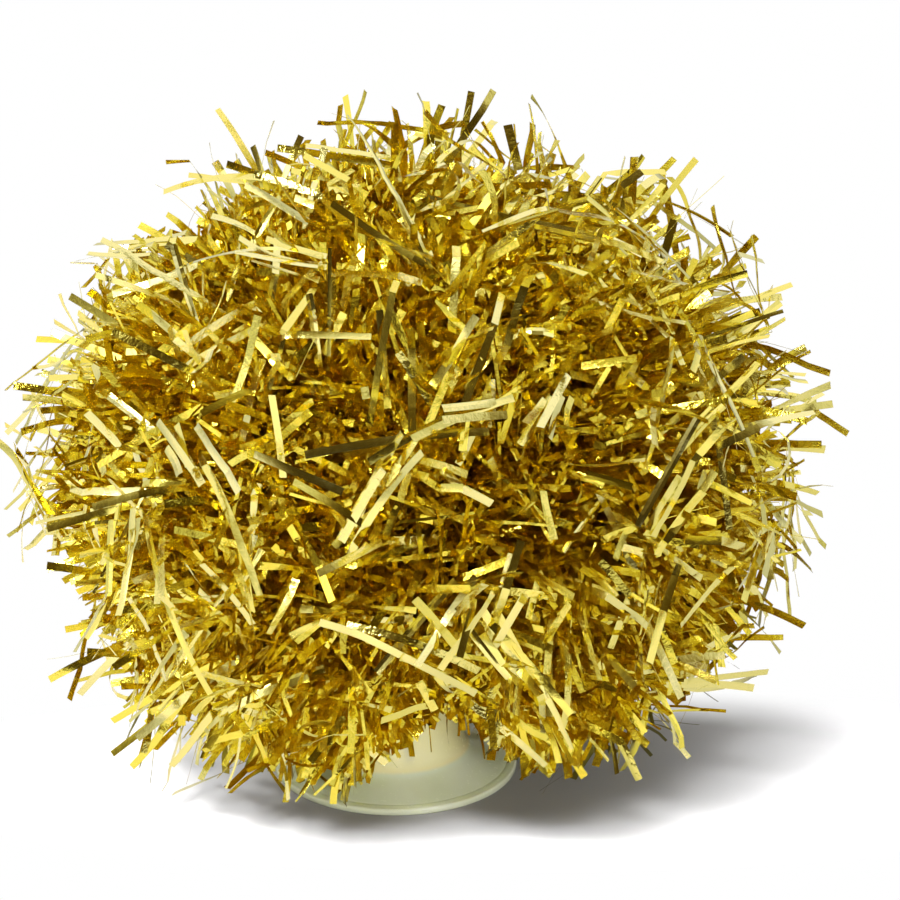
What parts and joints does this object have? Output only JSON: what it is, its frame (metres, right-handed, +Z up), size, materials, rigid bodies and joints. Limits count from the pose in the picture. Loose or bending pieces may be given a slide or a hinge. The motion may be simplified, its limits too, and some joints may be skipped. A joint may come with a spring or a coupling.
{
  "type": "cheer pom pom",
  "caption": "Round ball of shiny foil strips standing on a hollow flanged plastic grip, which the fingers hold from below.",
  "frame": {"origin": "centre of the handle's foot, on the surface that the object stands on", "axes": "+Z up along the handle and post, from the foot towards the crown; the grip bar lies along Y; the object is alike all round Z"},
  "size_m": [0.2672, 0.2677, 0.2202],
  "materials": {
    "milky_plastic": "satin",
    "white_plastic": "satin",
    "zinc_steel": "satin",
    "tie_wire": "satin",
    "gold_foil": "polished"
  },
  "bodies": {
    "root": {"clamp_screw": "zinc_steel", "clamp_washer": "zinc_steel", "core_post": "white_plastic", "crown_tuft_01": "gold_foil", "crown_tuft_02": "gold_foil", "crown_tuft_03": "gold_foil", "crown_tuft_04": "gold_foil", "grip_bar": "milky_plastic", "handle_base": "milky_plastic", "lower_tuft_01": "gold_foil", "lower_tuft_02": "gold_foil", "lower_tuft_03": "gold_foil", "lower_tuft_04": "gold_foil", "lower_tuft_05": "gold_foil", "lower_tuft_06": "gold_foil", "lower_tuft_07": "gold_foil", "lower_tuft_08": "gold_foil", "lower_tuft_09": "gold_foil", "middle_tuft_01": "gold_foil", "middle_tuft_02": "gold_foil", "middle_tuft_03": "gold_foil", "middle_tuft_04": "gold_foil", "middle_tuft_05": "gold_foil", "middle_tuft_06": "gold_foil", "middle_tuft_07": "gold_foil", "middle_tuft_08": "gold_foil", "middle_tuft_09": "gold_foil", "middle_tuft_10": "gold_foil", "post_cap": "white_plastic", "shoulder_tuft_01": "gold_foil", "shoulder_tuft_02": "gold_foil", "shoulder_tuft_03": "gold_foil", "shoulder_tuft_04": "gold_foil", "shoulder_tuft_05": "gold_foil", "shoulder_tuft_06": "gold_foil", "shoulder_tuft_07": "gold_foil", "skirt_tuft_01": "gold_foil", "skirt_tuft_02": "gold_foil", "skirt_tuft_03": "gold_foil", "skirt_tuft_04": "gold_foil", "skirt_tuft_05": "gold_foil", "skirt_tuft_06": "gold_foil", "skirt_tuft_07": "gold_foil", "skirt_tuft_08": "gold_foil", "tie_wire_crown": "tie_wire", "tie_wire_lower": "tie_wire", "tie_wire_middle": "tie_wire", "tie_wire_shoulder": "tie_wire", "tie_wire_skirt": "tie_wire", "tie_wire_upper": "tie_wire", "upper_tuft_01": "gold_foil", "upper_tuft_02": "gold_foil", "upper_tuft_03": "gold_foil", "upper_tuft_04": "gold_foil", "upper_tuft_05": "gold_foil", "upper_tuft_06": "gold_foil", "upper_tuft_07": "gold_foil", "upper_tuft_08": "gold_foil", "upper_tuft_09": "gold_foil"}
  },
  "joints": []
}
